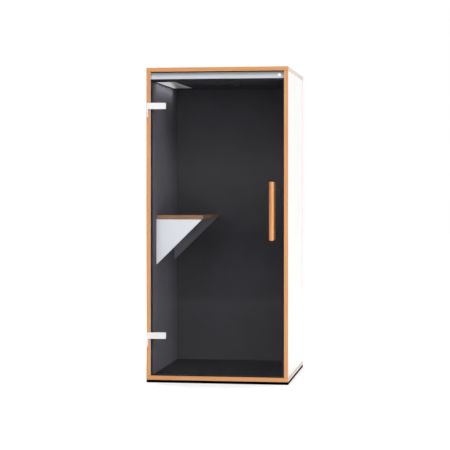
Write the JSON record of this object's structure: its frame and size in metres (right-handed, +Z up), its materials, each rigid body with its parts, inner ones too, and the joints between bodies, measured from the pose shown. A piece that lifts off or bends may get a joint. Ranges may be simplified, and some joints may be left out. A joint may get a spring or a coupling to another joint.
{
  "type": "acoustic office pod",
  "caption": "Free-standing booth for one person to make calls: white panels with wood edges, a hinged glass door, felt lining, a wall desk and a ceiling lamp.",
  "frame": {"origin": "on the floor under the middle of the part's bounding box", "axes": "+Z up, +X to the right of someone facing the door, +Y from the door to the back"},
  "size_m": [0.96, 1.108, 2.12],
  "materials": {
    "white_laminate": "white laminate over plywood, wood showing at the cut edges",
    "timber": "oiled hardwood, satin",
    "dark_laminate": "charcoal laminate over plywood, wood showing at the cut edges",
    "white_gloss": "white high gloss laminate",
    "felt": "charcoal pressed felt",
    "carpet_pile": "charcoal loop carpet",
    "foam": "grey open-cell foam",
    "aluminium": "satin anodised",
    "satin_steel": "satin",
    "black_steel": "black powder coat",
    "rubber": "matt black",
    "black_plastic": "matt black",
    "opal": "opal white, lit",
    "door_glass": "clear toughened glass"
  },
  "bodies": {
    "cabin": {"floor_panel": "white_laminate", "roof_panel": "white_laminate", "left_side_panel": "white_laminate", "right_side_panel": "white_laminate", "back_panel": "white_laminate", "desk_wall_cleat": "timber", "desk_top": "dark_laminate", "desk_back_gable": "dark_laminate", "desk_front_gable": "white_gloss", "left_lining": "felt", "right_lining": "felt", "back_lining": "felt", "ceiling_panel": "felt", "carpet": "carpet_pile", "back_insulation_left": "foam", "back_insulation_right": "foam", "roof_insulation": "foam", "header_rail": "aluminium", "power_supply": "aluminium", "lamp_housing": "aluminium", "roof_grille": "aluminium", "exhaust_grille": "aluminium", "indicator_bezel": "satin_steel", "upper_hinge_post": "satin_steel", "lower_hinge_post": "satin_steel", "base_rail_front": "black_steel", "base_rail_back": "black_steel", "base_rail_left": "black_steel", "base_rail_right": "black_steel", "seal_left": "rubber", "seal_right": "rubber", "seal_top": "rubber", "threshold_seal": "rubber", "cable_grommet": "rubber", "power_module": "black_plastic", "fan_housing": "black_plastic", "ceiling_grille": "black_plastic", "lamp_diffuser": "opal", "indicator_lens": "opal"},
    "door": {"door_glass": "door_glass", "handle_outer_bar": "timber", "handle_inner_bar": "timber", "upper_hinge_strap": "satin_steel", "upper_hinge_bush": "satin_steel", "upper_hinge_clamp": "satin_steel", "lower_hinge_strap": "satin_steel", "lower_hinge_bush": "satin_steel", "lower_hinge_clamp": "satin_steel", "handle_outer_spacer_upper": "satin_steel", "handle_outer_spacer_lower": "satin_steel", "handle_inner_spacer_upper": "satin_steel", "handle_inner_spacer_lower": "satin_steel"},
    "fan_rotor": {"fan_rotor": "black_plastic"},
    "foot_front_left": {"foot_front_left": "black_plastic"},
    "foot_front_right": {"foot_front_right": "black_plastic"},
    "foot_back_left": {"foot_back_left": "black_plastic"},
    "foot_back_right": {"foot_back_right": "black_plastic"}
  },
  "joints": [
    {"name": "door_hinge", "type": "hinge", "parent": "cabin", "child": "door", "pos_m": [-0.47095, -0.49505, 1.06], "axis": [0, 0, -1], "range_deg": [0, 170]},
    {"name": "fan_spin", "type": "hinge", "parent": "cabin", "child": "fan_rotor", "pos_m": [0, 0.034, 2.06], "axis": [0, 0, 1], "continuous": true},
    {"name": "foot_front_left_turn", "type": "hinge", "parent": "cabin", "child": "foot_front_left", "pos_m": [-0.39, -0.396, 0.02], "axis": [0, 0, 1], "continuous": true},
    {"name": "foot_front_right_turn", "type": "hinge", "parent": "cabin", "child": "foot_front_right", "pos_m": [0.39, -0.396, 0.02], "axis": [0, 0, 1], "continuous": true},
    {"name": "foot_back_left_turn", "type": "hinge", "parent": "cabin", "child": "foot_back_left", "pos_m": [-0.39, 0.464, 0.02], "axis": [0, 0, 1], "continuous": true},
    {"name": "foot_back_right_turn", "type": "hinge", "parent": "cabin", "child": "foot_back_right", "pos_m": [0.39, 0.464, 0.02], "axis": [0, 0, 1], "continuous": true}
  ]
}
